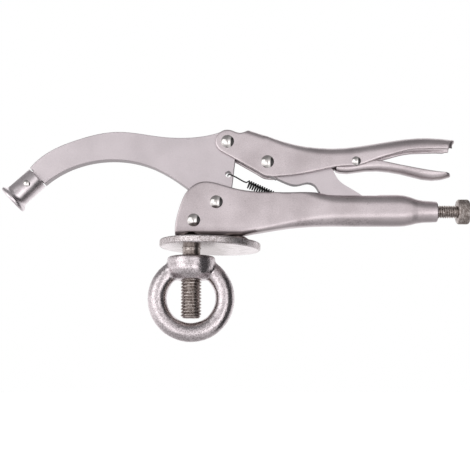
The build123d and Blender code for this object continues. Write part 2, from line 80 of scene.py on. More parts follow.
# %% [markdown]
# ## A small language for finishes
# A finish is arithmetic on patterns, so we let Python write the arithmetic.  `Field` wraps
# one number that changes over a surface, and each operator adds a Math node.  `Graph` adds any
# other node through one method, and `Finish` is the graph of one material, with the patterns
# that this clamp needs.  Wiring the nodes by hand would show the same picture, but a formula
# on one line is easier to read and to change.

# %% Field and Finish
class Field:
    """A number that varies over a surface: arithmetic on it adds Math nodes."""

    def __init__(self, finish, socket):
        self.finish = finish
        self.socket = socket

    def _math(self, operation, first, second):
        return self.finish.node("ShaderNodeMath", {"operation": operation}, {0: first, 1: second})

    def __add__(self, other):
        return self._math("ADD", self, other)

    __radd__ = __add__

    def __sub__(self, other):
        return self._math("SUBTRACT", self, other)

    def __rsub__(self, other):
        return self._math("SUBTRACT", other, self)

    def __mul__(self, other):
        return self._math("MULTIPLY", self, other)

    __rmul__ = __mul__


class Graph:
    """The nodes of a material or of the room, added one call at a time."""

    def __init__(self, owner):
        owner.use_nodes = True
        self.nodes = owner.node_tree.nodes
        self.links = owner.node_tree.links

    def node(self, kind, settings, values, output=0):
        """Adds a node: its settings first, then the values or links of its sockets."""
        made = self.nodes.new(kind)
        for key, value in settings.items():
            if key != "stops":
                setattr(made, key, value)
                continue
            for index, (position, colour) in enumerate(value):
                ramp = made.color_ramp.elements
                stop = ramp[index] if index < 2 else ramp.new(position)
                stop.position = position
                stop.color = colour
        for key, value in values.items():
            if isinstance(value, Field):
                self.links.new(value.socket, made.inputs[key])
            else:
                made.inputs[key].default_value = value
        return Field(self, made.outputs[output])

    def step(self, value, low, high):
        """Smooth rise from 0 at low to 1 at high."""
        return self.node("ShaderNodeMapRange", {"interpolation_type": "SMOOTHSTEP"},
                         {0: value, 1: low, 2: high, 3: 0.0, 4: 1.0})


class Finish(Graph):
    """One material: a Principled shader and the nodes that feed it."""

    def __init__(self, name, base, roughness, metallic=1.0):
        self.material = bpy.data.materials.new(name)
        super().__init__(self.material)
        self.place = self.node("ShaderNodeTexCoord", {}, {}, "Object")
        self.shader = self.nodes["Principled BSDF"]
        self.shader.inputs["Base Color"].default_value = (*base, 1)
        self.shader.inputs["Roughness"].default_value = roughness
        self.shader.inputs["Metallic"].default_value = metallic

    def noise(self, size_mm, detail=3.0, rough=0.55):
        """Cloudy pattern with features about size_mm across."""
        return self.node("ShaderNodeTexNoise", {"noise_dimensions": "3D"},
                         {"Vector": self.place, "Scale": 1 / (size_mm * MM), "Detail": detail,
                          "Roughness": rough})

    def cells(self, size_mm):
        """Pebbled pattern with cells about size_mm across."""
        return self.node("ShaderNodeTexVoronoi", {"feature": "SMOOTH_F1"},
                         {"Vector": self.place, "Scale": 1 / (size_mm * MM), "Smoothness": 0.6},
                         "Distance")

    def along(self, axis):
        """The place along one axis, in mm from the world's origin."""
        return self.node("ShaderNodeSeparateXYZ", {}, {0: self.place}, axis) * (1 / MM)

    def blend(self, factor, dark, light):
        """Colour between dark and light, each a plain colour or another blend."""
        ends = [end if isinstance(end, Field) else (*end, 1) for end in (dark, light)]
        return self.node("ShaderNodeMix", {"data_type": "RGBA"}, {0: factor, 6: ends[0], 7: ends[1]}, 2)

    def painted_edge_shade_mask(self):
        """Painted shade mask: 1 where the surface doesn't face the clamp's flat sides (sheared edges,
        tops and bellies), which get darker in colour as if less lit.
        """
        facing = self.node("ShaderNodeTexCoord", {}, {}, "Normal")
        across = self.node("ShaderNodeMath", {"operation": "ABSOLUTE"},
                           {0: self.node("ShaderNodeSeparateXYZ", {}, {0: facing}, "Y")})
        return 1 - self.step(across, 0.35, 0.80)

    def feed(self, socket, field):
        """Lets a field drive one socket of the shader."""
        self.links.new(field.socket, self.shader.inputs[socket])

    def bump(self, height, depth_mm, strength=1.0):
        """Makes height (0 to 1) stand depth_mm proud of the surface."""
        self.feed("Normal", self.node("ShaderNodeBump", {}, {"Strength": strength,
                                                             "Distance": depth_mm * MM,
                                                             "Height": height}))


print("finish language ready")

# %% [markdown]
# ## The finishes
# The handles and the arm are blasted steel under satin nickel: a fine even grain, a slow
# drift of tone, and a few darker rub marks.  Paint made of one colour and one roughness would
# look like plastic, so three noises of different size share the work.  The same function also
# paints shade: edges, tops and bellies, which catch less light than the flat sides, are darkened in
# colour.

# %% Satin nickel for sheet and plate
# painted shade: the near-black colour that edges, tops and bellies are darkened towards
EDGE_PAINTED_SHADE = (0.13, 0.12, 0.125)
DRIFT_MM = 26
MARK_MM = 4.5
WEAR_AND_SHADE_DARKEN = 1.1
WEAR_AND_SHADE_FLATTEN = 0.8


def satin_nickel(name, dark, light, roughness, grain_mm, grain_depth_mm, mark_depth, edge_painted_shade,
                 wear_and_shade=None):
    """Blasted plating; the wear function gives, from 0 to 1, the scuffed places and the places of painted
    shade.
    """
    finish = Finish(name, light, roughness)
    drift = finish.noise(DRIFT_MM, 2.0)
    grain = finish.noise(grain_mm, 4.0, 0.7)
    marks = finish.step(finish.noise(MARK_MM, 5.0, 0.75), 0.62, 0.74)
    tone = finish.step(drift, 0.3, 0.7) * 0.5 + finish.step(grain, 0.25, 0.75) * 0.5
    tone = tone - marks * mark_depth
    height = grain
    if wear_and_shade is not None:
        # the mask holds real scuffs and, on the grip, painted shade and a painted reflection; all of it
        # darkens the colour
        scuffs_and_shade = wear_and_shade(finish)
        tone = tone - scuffs_and_shade * WEAR_AND_SHADE_DARKEN
        height = grain - scuffs_and_shade * WEAR_AND_SHADE_FLATTEN
    plated = finish.blend(tone, dark, light)
    # painted shade: what faces away from the flat sides is blended towards the near-black edge colour
    finish.feed("Base Color", finish.blend(finish.painted_edge_shade_mask() * edge_painted_shade, plated, EDGE_PAINTED_SHADE))
    finish.feed("Roughness", roughness - 0.06 + drift * 0.10 + grain * 0.06)
    finish.bump(height, grain_depth_mm, 0.7)
    return finish.material


def window(finish, axis, low, high, soft):
    """1 between low and high mm along an axis, falling to 0 over soft mm."""
    place = finish.along(axis)
    rise = finish.step(place, low - soft, low + soft)
    fall = finish.step(place, high - soft, high + soft)
    return rise * (1 - fall)


print("satin nickel ready")


# %% [markdown]
# The plating is not perfect.  On the lower handle the press left a torn seam low on the grip,
# and there are dirt smudges above the disc.  The same mask also paints shade: brown shade in the
# slot of the neck's seam, and a painted reflection of the dark disc on the grip's belly.  The arm
# has one dark nick in its top edge.  A painted image could hold these marks, but here each is a
# soft window in space, in millimetres, broken up by a noise, so it needs no unwrapped surface.

# %% Where the plate is worn, and where shade is painted
def grip_wear_and_painted_shade(finish):
    """The torn seam and the smudges above the disc, with painted shade in the neck's seam slot and a
    painted reflection of the dark disc on the belly.
    """
    torn = finish.step(finish.noise(1.5, 5.0, 0.75), 0.47, 0.58)
    seam = window(finish, "X", 62, 112, 6) * window(finish, "Z", 13.6, 17.6, 1.0) * torn
    # painted shade: the slot of the neck's seam is darkened brown
    neck_slot_shade = window(finish, "X", 140, 151, 3) * window(finish, "Z", 28, 33, 0.8) * torn
    smudge = finish.step(finish.noise(2.6, 5.0, 0.7), 0.60, 0.66)
    smudges = window(finish, "X", 18, 40, 6) * window(finish, "Z", 20, 40, 5) * smudge
    # painted reflection: the grip's belly is darkened low down, as if mirroring the dark disc
    belly_painted_reflection = window(finish, "X", -20, 56, 14) * (1 - finish.step(finish.along("Z"), 6.5, 14.0))
    return seam * 0.40 + neck_slot_shade * 0.7 + smudges * 0.55 + belly_painted_reflection * 0.8


def arm_wear(finish):
    """The nick in the arm's top edge, on the near side only."""
    nick = window(finish, "X", -3.4, -1.6, 0.5) * window(finish, "Z", 68.6, 72, 0.5)
    nick = nick * finish.step(finish.noise(1.2, 3.0), 0.40, 0.55)
    return nick * 1.2 * window(finish, "Y", -9, 0, 0.5)


SHEET_DARK, SHEET_LIGHT = (0.46, 0.41, 0.42), (0.82, 0.752, 0.77)
PLATE_DARK, PLATE_LIGHT = (0.60, 0.552, 0.57), (0.77, 0.713, 0.735)
# each finish's edge setting is how strongly painted shade darkens its edges, tops and bellies
sheet_nickel = satin_nickel("satin_nickel_sheet", SHEET_DARK, SHEET_LIGHT, roughness=0.36,
                            grain_mm=0.5, grain_depth_mm=0.012, mark_depth=0.3, edge_painted_shade=0.15)
grip_nickel = satin_nickel("satin_nickel_grip", SHEET_DARK, SHEET_LIGHT, roughness=0.34,
                           grain_mm=0.5, grain_depth_mm=0.014, mark_depth=0.3, edge_painted_shade=0.12,
                           wear_and_shade=grip_wear_and_painted_shade)
plate_nickel = satin_nickel("satin_nickel_plate", PLATE_DARK, PLATE_LIGHT, roughness=0.46,
                            grain_mm=0.4, grain_depth_mm=0.016, mark_depth=0.2, edge_painted_shade=0.85)
arm_nickel = satin_nickel("satin_nickel_arm", PLATE_DARK, PLATE_LIGHT, roughness=0.46,
                          grain_mm=0.4, grain_depth_mm=0.016, mark_depth=0.2, edge_painted_shade=0.5,
                          wear_and_shade=arm_wear)
print("satin finishes:", sheet_nickel.name, grip_nickel.name, plate_nickel.name, arm_nickel.name)


# %% [markdown]
# The disc is stamped from thick plate.  Its flat face is smooth, but the punch tore the rim,
# so the finish asks how far a place is from the disc's own axis and turns coarse out there.
# Two materials, one for the face and one for the rim, would leave a hard line between them.

# %% The stamped disc
# the centre is in metres, as the shader's places are, and LEVEL drops the height
DISC_CENTRE = (0.0115, 0, 0)
LEVEL = (1, 1, 0)
RIM_FROM, RIM_FULL = 30.0, 31.0


def stamped_disc():
    finish = Finish("satin_nickel_disc", (0.60, 0.57, 0.58), 0.25)
    away = finish.node("ShaderNodeVectorMath", {"operation": "SUBTRACT"},
                       {0: finish.place, 1: DISC_CENTRE})
    flat = finish.node("ShaderNodeVectorMath", {"operation": "MULTIPLY"}, {0: away, 1: LEVEL})
    radial = finish.node("ShaderNodeVectorMath", {"operation": "LENGTH"}, {0: flat}, "Value") * (1 / MM)
    rim = finish.step(radial, RIM_FROM, RIM_FULL)
    # painted shade: the disc's face is darkened round the stud, under the handle's hub
    stud_shade_window = window(finish, "X", -6, 20, 9)
    torn = finish.noise(0.8, 5.0, 0.75)
    haze = finish.noise(7, 3.0)
    torn_rim = rim * (finish.step(torn, 0.4, 0.6) - 0.5)
    painted_stud_shade = stud_shade_window * (1 - rim) * 0.75
    tone = finish.step(haze, 0.3, 0.7) * 0.5 + 0.35 + torn_rim - painted_stud_shade
    finish.feed("Base Color", finish.blend(tone, (0.34, 0.30, 0.29), (0.80, 0.755, 0.765)))
    finish.feed("Roughness", 0.22 + rim * 0.16 + haze * 0.06)
    finish.bump(torn * (rim * 0.95 + 0.05), 0.16, 0.8)
    return finish.material


disc_nickel = stamped_disc()
print("disc:", disc_nickel.name)


# %% [markdown]
# The rivet heads are smooth and bright, so they mirror the room: a low roughness, a faint haze
# and hardly any grain.  The pad is a turned piece under satin plate, so it is paler, rougher
# and a little grainy.  Two short functions show what differs better than one with many
# arguments would.

# %% Polished rivets and satin pad
def polished_nickel():
    finish = Finish("polished_nickel", (0.78, 0.76, 0.74), 0.14)
    haze = finish.noise(3.0, 3.0)
    fine = finish.noise(0.35, 3.0, 0.7)
    tone = finish.step(haze, 0.3, 0.7)
    finish.feed("Base Color", finish.blend(tone, (0.66, 0.64, 0.62), (0.82, 0.80, 0.78)))
    finish.feed("Roughness", 0.03 + haze * 0.09 + fine * 0.03)
    finish.bump(fine, 0.004, 0.6)
    return finish.material


def satin_pad():
    finish = Finish("satin_nickel_pad", (0.70, 0.66, 0.67), 0.3)
    turned = finish.noise(0.6, 4.0, 0.7)
    haze = finish.noise(4.0, 3.0)
    tone = finish.step(haze, 0.3, 0.7) * 0.6 + finish.step(turned, 0.3, 0.7) * 0.4
    finish.feed("Base Color", finish.blend(tone, (0.66, 0.61, 0.63), (0.90, 0.85, 0.87)))
    finish.feed("Roughness", 0.24 + haze * 0.10 + turned * 0.06)
    finish.bump(turned, 0.02, 0.7)
    return finish.material


polished = polished_nickel()
pad_nickel = satin_pad()
print("polished:", polished.name, "pad:", pad_nickel.name)


# %% [markdown]
# Rolled threads are plated too, but oil and dust darken their roots, so the colour follows a
# fine noise.  The casting mixes pebbles of two sizes, which makes both its sparkle and its
# dark pits.  The spring is black oxide on hard wire, with paler rub marks.

# %% Threads, casting and spring wire
def thread_steel():
    finish = Finish("plated_thread", (0.52, 0.48, 0.44), 0.27)
    grime = finish.step(finish.noise(1.8, 4.0, 0.65), 0.35, 0.7)
    fine = finish.noise(0.3, 3.0)
    finish.feed("Base Color", finish.blend(grime, (0.26, 0.22, 0.20), (0.60, 0.55, 0.52)))
    finish.feed("Roughness", 0.36 - grime * 0.12 + fine * 0.08)
    finish.bump(fine, 0.008, 0.7)
    return finish.material


def cast_nickel():
    finish = Finish("cast_nickel", (0.62, 0.60, 0.57), 0.22)
    pebbles = finish.cells(0.9)
    grit = finish.noise(0.55, 4.0, 0.7)
    tone = finish.step(pebbles * 0.6 + grit * 0.5, 0.3, 0.75)
    finish.feed("Base Color", finish.blend(tone, (0.42, 0.38, 0.39), (0.74, 0.69, 0.705)))
    finish.feed("Roughness", 0.17 + grit * 0.12 + pebbles * 0.06)
    finish.bump(pebbles * 0.6 + grit * 0.7, 0.055, 0.9)
    return finish.material


def spring_wire():
    finish = Finish("black_oxide_wire", (0.03, 0.03, 0.032), 0.34, metallic=0.25)
    rub = finish.step(finish.noise(1.4, 3.0), 0.55, 0.75)
    finish.feed("Base Color", finish.blend(rub, (0.008, 0.008, 0.009), (0.07, 0.066, 0.062)))
    finish.feed("Roughness", 0.42 - rub * 0.14)
    finish.bump(finish.noise(0.25), 0.006, 0.6)
    return finish.material


thread_finish = thread_steel()
cast_finish = cast_nickel()
wire_finish = spring_wire()
print("other finishes:", thread_finish.name, cast_finish.name, wire_finish.name)

# %% [markdown]
# ## Give the solids their finishes
# Each solid keeps its mesh.  Its material slots are cleared and take the finish of what it
# really is.  A table of names does this in one loop, and shows at a glance which pieces share
# a finish.

# %% Finishes on the solids
NODE_FINISH = {
    "jaw_arm": arm_nickel, "toggle_link": plate_nickel, "stud_block": plate_nickel,
    "upper_handle": sheet_nickel, "lower_handle": grip_nickel, "release_lever": sheet_nickel,
    "table_disc": disc_nickel, "rear_foot": thread_finish, "eye_nut": cast_finish,
    "swivel_pad": pad_nickel, "pad_rivet": polished, "handle_rivet": polished,
    "link_rivet": polished, "main_rivet": polished, "base_rivet": polished, "lever_rivet": polished,
}
for node, material in NODE_FINISH.items():
    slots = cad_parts[node].data.materials
    slots.clear()
    slots.append(material)
print("finished", len(NODE_FINISH), "solids")

# %% [markdown]
# ## Soften the pressed and cast pieces
# Pressed sheet has no knife edges, and a casting has none either.  A fine voxel remesh and a
# few rounds of smoothing melt the solids' facets and corners by a few tenths of a millimetre.
# A bevel would round only the edges it can find, and a remesh rounds them all.  As modifiers,
# both leave the solids themselves alone.

# %% Remesh and smooth
def soften(node, voxel_mm, rounds):
    """Melts a solid's corners: smaller voxels keep more, more rounds round more."""
    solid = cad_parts[node]
    remesh = solid.modifiers.new("melt", "REMESH")
    remesh.mode = "VOXEL"
    remesh.voxel_size = voxel_mm * MM
    remesh.use_smooth_shade = True
    smooth = solid.modifiers.new("relax", "SMOOTH")
    smooth.factor = 0.5
    smooth.iterations = rounds


MELTED = (("lower_handle", 0.48, 10), ("upper_handle", 0.42, 12),
          ("release_lever", 0.35, 8), ("eye_nut", 0.6, 14))
for node, voxel_mm, rounds in MELTED:
    soften(node, voxel_mm, rounds)
print("softened:", [node for node, _, _ in MELTED])

# %% [markdown]
# ## Straight lips on the handle's tail
# Near the tail the lower edge of the upper handle's two walls steps up by nearly a millimetre,
# where the real sheet runs on straight.  The solid's mesh can't be edited, so a boolean
# modifier merges in one small block for each wall.  It goes before the remesh, which melts the
# joint away.  The blocks are hidden, and they ride on the handle's body: otherwise they would
# stay behind when the handle swings.

# %% Tail lips
LIP_ENDS_X = (150.5, 160.3)
LIP_LOW_Z = (62.05, 61.75)
LIP_HIGH_Z = 64.9
LIP_Y = (5.9, 7.6)
LIP_CORNERS = [(x, y, z) for x, low in zip(LIP_ENDS_X, LIP_LOW_Z) for y in LIP_Y
               for z in (low, LIP_HIGH_Z)]
LIP_FACES = ((0, 1, 3, 2), (4, 5, 7, 6), (0, 1, 5, 4), (2, 3, 7, 6), (0, 2, 6, 4), (1, 3, 7, 5))
lips = bmesh.new()
for side in (-1, 1):
    corners = [lips.verts.new((x * MM, side * y * MM, z * MM)) for x, y, z in LIP_CORNERS]
    for face in LIP_FACES:
        lips.faces.new([corners[index] for index in face])
bmesh.ops.recalc_face_normals(lips, faces=lips.faces)
lips_data = bpy.data.meshes.new("tail_lips")
lips.to_mesh(lips_data)
lips.free()
tail_lips = bpy.data.objects.new("tail_lips", lips_data)
tail_lips.hide_render = True
bpy.context.scene.collection.objects.link(tail_lips)
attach(tail_lips, "upper_handle_body")
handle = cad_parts["upper_handle"]
merge = handle.modifiers.new("lips", "BOOLEAN")
merge.operation = "UNION"
merge.object = tail_lips
merge.solver = "EXACT"
handle.modifiers.move(len(handle.modifiers) - 1, 0)
print("upper handle modifiers:", [modifier.name for modifier in handle.modifiers])

# %% [markdown]
# ## The casting's skin
# The eye nut is a casting, and its skin is never quite even.  A bump in the material would
# leave the outline smooth, so a cloud texture moves the surface itself, by about a tenth of a
# millimetre and mostly inwards.

# %% Casting skin
SKIN_CLOUD_MM = 2.2
SKIN_DEPTH_MM = 0.22
SKIN_LEVEL = 0.65
skin = bpy.data.textures.new("casting_skin", "CLOUDS")
skin.noise_scale = SKIN_CLOUD_MM * MM
skin.noise_depth = 2
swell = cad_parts["eye_nut"].modifiers.new("skin", "DISPLACE")
swell.texture = skin
swell.texture_coords = "LOCAL"
swell.strength = SKIN_DEPTH_MM * MM
swell.mid_level = SKIN_LEVEL
print("eye nut skin:", SKIN_DEPTH_MM, "mm deep")


# %% [markdown]
# ## Screw threads
# The solids carry plain cylinders where the real pieces have threads.  A thread is a radius
# that falls and rises as we go round and along: a triangle wave of length less angle.  We lay
# a grid over the rod, ask for the radius at each place, and cap both ends.  A screw modifier
# could sweep a tooth round the axis, but then the chamfer and the neck would be extra meshes.

# %% Round piece from a radius function
def round_piece(name, along, origin, stations, sides, radius_at, material):
    """Closed mesh about an axis: radius_at(distance, angle) in mm, stations in mm along it."""
    mesh = bmesh.new()
    turn_a, turn_b = {"X": ((0, 1, 0), (0, 0, 1)), "Z": ((1, 0, 0), (0, 1, 0))}[along]
    axis = Vector((1, 0, 0)) if along == "X" else Vector((0, 0, 1))
    turn_a, turn_b, origin = Vector(turn_a), Vector(turn_b), Vector(origin)
    rings = []
    for distance in stations:
        ring = []
        for side in range(sides):
            angle = 2 * pi * side / sides
            reach = radius_at(distance, angle)
            place = origin + axis * distance + (turn_a * cos(angle) + turn_b * sin(angle)) * reach
            ring.append(mesh.verts.new(place * MM))
        rings.append(ring)
    for low, high in zip(rings, rings[1:]):
        for side in range(sides):
            after = (side + 1) % sides
            mesh.faces.new((low[side], low[after], high[after], high[side]))
    for ring, distance in ((rings[0], stations[0]), (rings[-1], stations[-1])):
        middle = mesh.verts.new((origin + axis * distance) * MM)
        for side in range(sides):
            mesh.faces.new((ring[side], ring[(side + 1) % sides], middle))
    bmesh.ops.recalc_face_normals(mesh, faces=mesh.faces)
    data = bpy.data.meshes.new(name)
    mesh.to_mesh(data)
    mesh.free()
    data.materials.append(material)
    data.shade_smooth()
    piece = bpy.data.objects.new(name, data)
    bpy.context.scene.collection.objects.link(piece)
    return piece


def wave(position):
    """Triangle wave: 1 on the crest, 0 at the root, once per whole number."""
    return abs(2 * (position - floor(position)) - 1)


def along_profile(profile, distance):
    """Radius at a distance, on straight lines between (distance, radius) points."""
    for (near, near_r), (far, far_r) in zip(profile, profile[1:]):
        if near <= distance <= far:
            return near_r + (far_r - near_r) * (distance - near) / max(far - near, 1e-6)
    return profile[-1][1]


def even_steps(start, stop, step):
    """Evenly spaced places from start to stop, no more than step apart."""
    count = max(1, ceil((stop - start) / step))
    return [start + (stop - start) * index / count for index in range(count + 1)]


# above 1, this leaves the crests flat
CREST_GAIN = 1.5


def thread_crest(turns):
    """1 on the flat crest of a thread, 0 in its root, once per turn."""
    return min(1.0, CREST_GAIN * wave(turns))


INCH = 25.4
STEPS_PER_TURN = 10
print("thread tools ready,", STEPS_PER_TURN, "steps per turn")

# %% [markdown]
# ## The stud
# The stud is half an inch thick, with 13 threads to the inch, a chamfered tip, a plain neck
# and a collar that seats under the handle.  Its outline is a short list of distances and
# radii.  The thread is cut into that outline only below the neck, so the chamfer trims the
# last turns as it does on a real bolt.

# %% The stud
STUD_PITCH = INCH / 13
STUD_R = 6.35
STUD_THREAD_DEPTH = 1.15
STUD_TIP, THREAD_TOP = -43.6, -6.4
STUD_SHAPE = [(STUD_TIP, 4.9), (-42.1, STUD_R), (THREAD_TOP, STUD_R), (-5.4, 5.55), (5.1, 5.55),
              (5.12, 8.0), (7.4, 8.0), (7.42, 5.5), (13.2, 3.0)]


def stud_radius(distance, angle):
    outline = along_profile(STUD_SHAPE, distance)
    if distance > THREAD_TOP:
        return outline
    crest = thread_crest(distance / STUD_PITCH - angle / (2 * pi))
    return min(outline, STUD_R - STUD_THREAD_DEPTH * (1 - crest))


stud_stations = even_steps(STUD_TIP, THREAD_TOP, STUD_PITCH / STEPS_PER_TURN)
stud_stations += [distance for distance, _ in STUD_SHAPE if distance > THREAD_TOP]
threaded_stud = round_piece("threaded_stud", "Z", (0, 0, 0), stud_stations, 64,
                            stud_radius, thread_finish)
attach(threaded_stud, "lower_handle_body")
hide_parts("stud")
print("stud:", len(threaded_stud.data.vertices), "points")

# %% [markdown]
# ## The adjusting screw
# The screw in the grip's end sets how wide the jaw locks.  It is five sixteenths of an inch
# thick, with 18 threads to the inch, and is made as the stud was, along X.  A plain spigot at
# its end carries the knob.

# %% The adjusting screw
SCREW_PITCH = INCH / 18
SCREW_R = 3.97
SCREW_THREAD_DEPTH = 0.85
SCREW_START, SCREW_STOP = 117.4, 172.9
KNOB_START, KNOB_LENGTH, KNOB_R = 166.2, 7.7, 7.8
SCREW_Z = 23.0
THREAD_END, SPIGOT_START, SPIGOT_R = KNOB_START - 0.1, KNOB_START - 0.05, 2.95
SCREW_SHAPE = [(SCREW_START, 2.6), (SCREW_START + 1.4, SCREW_R), (THREAD_END, SCREW_R),
               (SPIGOT_START, SPIGOT_R), (SCREW_STOP, SPIGOT_R)]


def screw_radius(distance, angle):
    outline = along_profile(SCREW_SHAPE, distance)
    crest = thread_crest(distance / SCREW_PITCH - angle / (2 * pi))
    return min(outline, SCREW_R - SCREW_THREAD_DEPTH * (1 - crest))


screw_stations = even_steps(SCREW_START, THREAD_END, SCREW_PITCH / STEPS_PER_TURN)
screw_stations += [SPIGOT_START, SCREW_STOP]
threaded_screw = round_piece("threaded_screw", "X", (0, 0, SCREW_Z), screw_stations, 48,
                             screw_radius, thread_finish)
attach(threaded_screw, "screw_body")
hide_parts("adjusting_screw")
print("screw:", len(threaded_screw.data.vertices), "points")

# %% [markdown]
# ## The knurled knob
# Diamond knurling is two sets of grooves that wind opposite ways.  The lower of two triangle
# waves gives the small pyramids between them.  The rims are rounded and the end faces are
# flat.  A bump in the material would be quicker, but the knob's outline would stay smooth.

# %% The knob
KNURL_COUNT = 46
KNURL_DEPTH = 0.28
RIM_ROUND = 1.5
# a ridge rises RIDGE_GAIN times as fast as its wave, and is cut off flat at RIDGE_TOP
RIDGE_GAIN = 1.6
RIDGE_TOP = 0.62
KNOB_STEP = 0.13
POINTS_PER_RIDGE = 8


def knob_radius(distance, angle):
    inward = min(distance - KNOB_START, KNOB_START + KNOB_LENGTH - distance)
    drop = RIM_ROUND - (max(0.0, RIM_ROUND ** 2 - (RIM_ROUND - min(inward, RIM_ROUND)) ** 2)) ** 0.5
    around = KNURL_COUNT * angle / (2 * pi)
    lead = KNURL_COUNT * distance / (2 * pi * KNOB_R)
    ridge = min(wave(around + lead), wave(around - lead))
    fade = min(1.0, inward / RIM_ROUND)
    return KNOB_R - drop - KNURL_DEPTH * fade * (1 - RIDGE_GAIN * min(ridge, RIDGE_TOP))


knurled_knob = round_piece("knurled_knob", "X", (0, 0, SCREW_Z),
                           even_steps(KNOB_START, KNOB_START + KNOB_LENGTH, KNOB_STEP),
                           KNURL_COUNT * POINTS_PER_RIDGE, knob_radius, thread_finish)
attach(knurled_knob, "knob_body")
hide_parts("adjusting_knob")
print("knob:", len(knurled_knob.data.vertices), "points")

# %% [markdown]
# ## The swivel pad
# The pad is a turned cup with a flange, loose on a rivet through the arm's tongue.  Its
# outline is drawn once as distance and radius, round the outside and back up the bore, and
# spun about the pad's own tilted axis.  The tilt goes into the mesh, not into the object, and
# a small bevel breaks the corners that a lathe tool would leave sharp.

# %% Turned piece
def turned_piece(name, outline, sides, place, tilt, material):
    """Closed ring-shaped mesh from a closed outline of (distance, radius), in mm."""
    mesh = bmesh.new()
    rings = [[mesh.verts.new((reach * cos(2 * pi * side / sides) * MM,
                              reach * sin(2 * pi * side / sides) * MM, distance * MM))
              for side in range(sides)] for distance, reach in outline]
    for low, high in zip(rings, rings[1:] + rings[:1]):
        for side in range(sides):
            after = (side + 1) % sides
            mesh.faces.new((low[side], low[after], high[after], high[side]))
    bmesh.ops.recalc_face_normals(mesh, faces=mesh.faces)
    data = bpy.data.meshes.new(name)
    mesh.to_mesh(data)
    mesh.free()
    data.materials.append(material)
    data.shade_smooth()
    data.transform(Matrix.Translation(Vector(place) * MM) @ Matrix.Rotation(tilt, 4, "Y"))
    piece = bpy.data.objects.new(name, data)
    bpy.context.scene.collection.objects.link(piece)
    return piece


PAD_PIVOT = (-102.5, 0, 39.9)
PAD_TILT = atan2(0.7361, 0.6769)
PAD_OUTLINE = [(-13.6, 0.4), (-13.7, 6.4), (-14.15, 7.2), (-14.2, 8.9), (-13.9, 9.5), (-13.2, 9.8),
               (-12.2, 9.65), (-11.4, 9.0), (-10.9, 8.2), (-10.2, 7.75), (-9.0, 7.55), (6.9, 7.5),
               (7.2, 7.35), (7.25, 7.0), (7.2, 6.3), (6.9, 6.2), (-8.9, 6.2), (-9.0, 0.4)]
CORNER_BREAK_MM = 0.12
turned_pad = turned_piece("turned_pad", PAD_OUTLINE, 72, PAD_PIVOT, PAD_TILT, pad_nickel)
soft_corners = turned_pad.modifiers.new("soft_corners", "BEVEL")
soft_corners.width = CORNER_BREAK_MM * MM
soft_corners.segments = 2
soft_corners.limit_method = "ANGLE"
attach(turned_pad, "pad_body")
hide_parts("swivel_pad")
print("pad:", len(PAD_OUTLINE), "rings")

# %% [markdown]
# ## Wire
# Wire is one round section carried along a line.  At each point we set a ring of corners
# square to the line, and turn it as little as possible from the ring before, so the wire
# doesn't twist.  A curve with a round bevel would give the same shape, but a mesh can hand
# each of its points to one end of the spring or the other.

# %% Wire along a line
def wire_piece(name, points, radius, sides, material):
    """Closed round wire along a list of points, in mm."""
    mesh = bmesh.new()
    spots = [Vector(point) for point in points]
    across = Vector((0, 1, 0))
    rings = []
    for index, spot in enumerate(spots):
        ahead = spots[min(index + 1, len(spots) - 1)] - spots[max(index - 1, 0)]
        ahead.normalize()
        across = across - ahead * across.dot(ahead)
        across.normalize()
        other = ahead.cross(across)
        rings.append([mesh.verts.new((spot + (across * cos(2 * pi * side / sides)
                                              + other * sin(2 * pi * side / sides)) * radius) * MM)
                      for side in range(sides)])
    for low, high in zip(rings, rings[1:]):
        for side in range(sides):
            after = (side + 1) % sides
            mesh.faces.new((low[side], low[after], high[after], high[side]))
    mesh.faces.new(rings[0])
    mesh.faces.new(rings[-1])
    bmesh.ops.recalc_face_normals(mesh, faces=mesh.faces)
    data = bpy.data.meshes.new(name)
    mesh.to_mesh(data)
    mesh.free()
    data.materials.append(material)
    data.shade_smooth()
    piece = bpy.data.objects.new(name, data)
    bpy.context.scene.collection.objects.link(piece)
    return piece


print("wire tool ready")

# %% [markdown]
# ## The return spring
# A tension spring hooks into a hole in the arm and onto a tab inside the lower handle, and
# pulls the jaw open.  Its centre line is one list of points: the front hook through the hole
# and round the arm's edge, the coil from a loop, and the straight rear end.

# %% The spring
SPRING_EYE = Vector((23.0, 0, 46.4))
SPRING_TAB = Vector((67.0, 0, 26.4))
WIRE_R = 0.44
COIL_R = 2.3
COIL_START, COIL_END, COIL_TURNS = 13.6, 42.4, 19
POINTS_PER_COIL = 20
# the front hook, measured from the hole's centre: through the hole from the far side, then
# along the arm's near side to the coil's axis
FRONT_HOOK = ((-0.3, 4.9, 0.5), (-0.3, 2.0, 0.3), (0.0, -2.0, 0.0), (0.3, -4.0, -0.1),
              (1.3, -4.55, -0.5), (3.2, -4.5, -1.3), (5.0, -4.2, -2.1), (6.6, -3.2, -2.9),
              (8.2, -1.7, -3.5), (9.6, -0.7, -4.1))
spring_line = SPRING_TAB - SPRING_EYE
spring_length = spring_line.length
spring_line.normalize()
spring_up = Vector((-spring_line.z, 0, spring_line.x))
sideways = Vector((0, 1, 0))


def spring_point(distance, rise=0.0):
    """A place on the spring's line, or rise mm above it."""
    return SPRING_EYE + spring_line * distance + spring_up * rise


def coil_point(turn):
    """A place on the coil's wire, turn by turn from the front."""
    centre = spring_point(COIL_START + (COIL_END - COIL_START) * turn / COIL_TURNS)
    return centre + (spring_up * cos(2 * pi * turn) + sideways * sin(2 * pi * turn)) * COIL_R


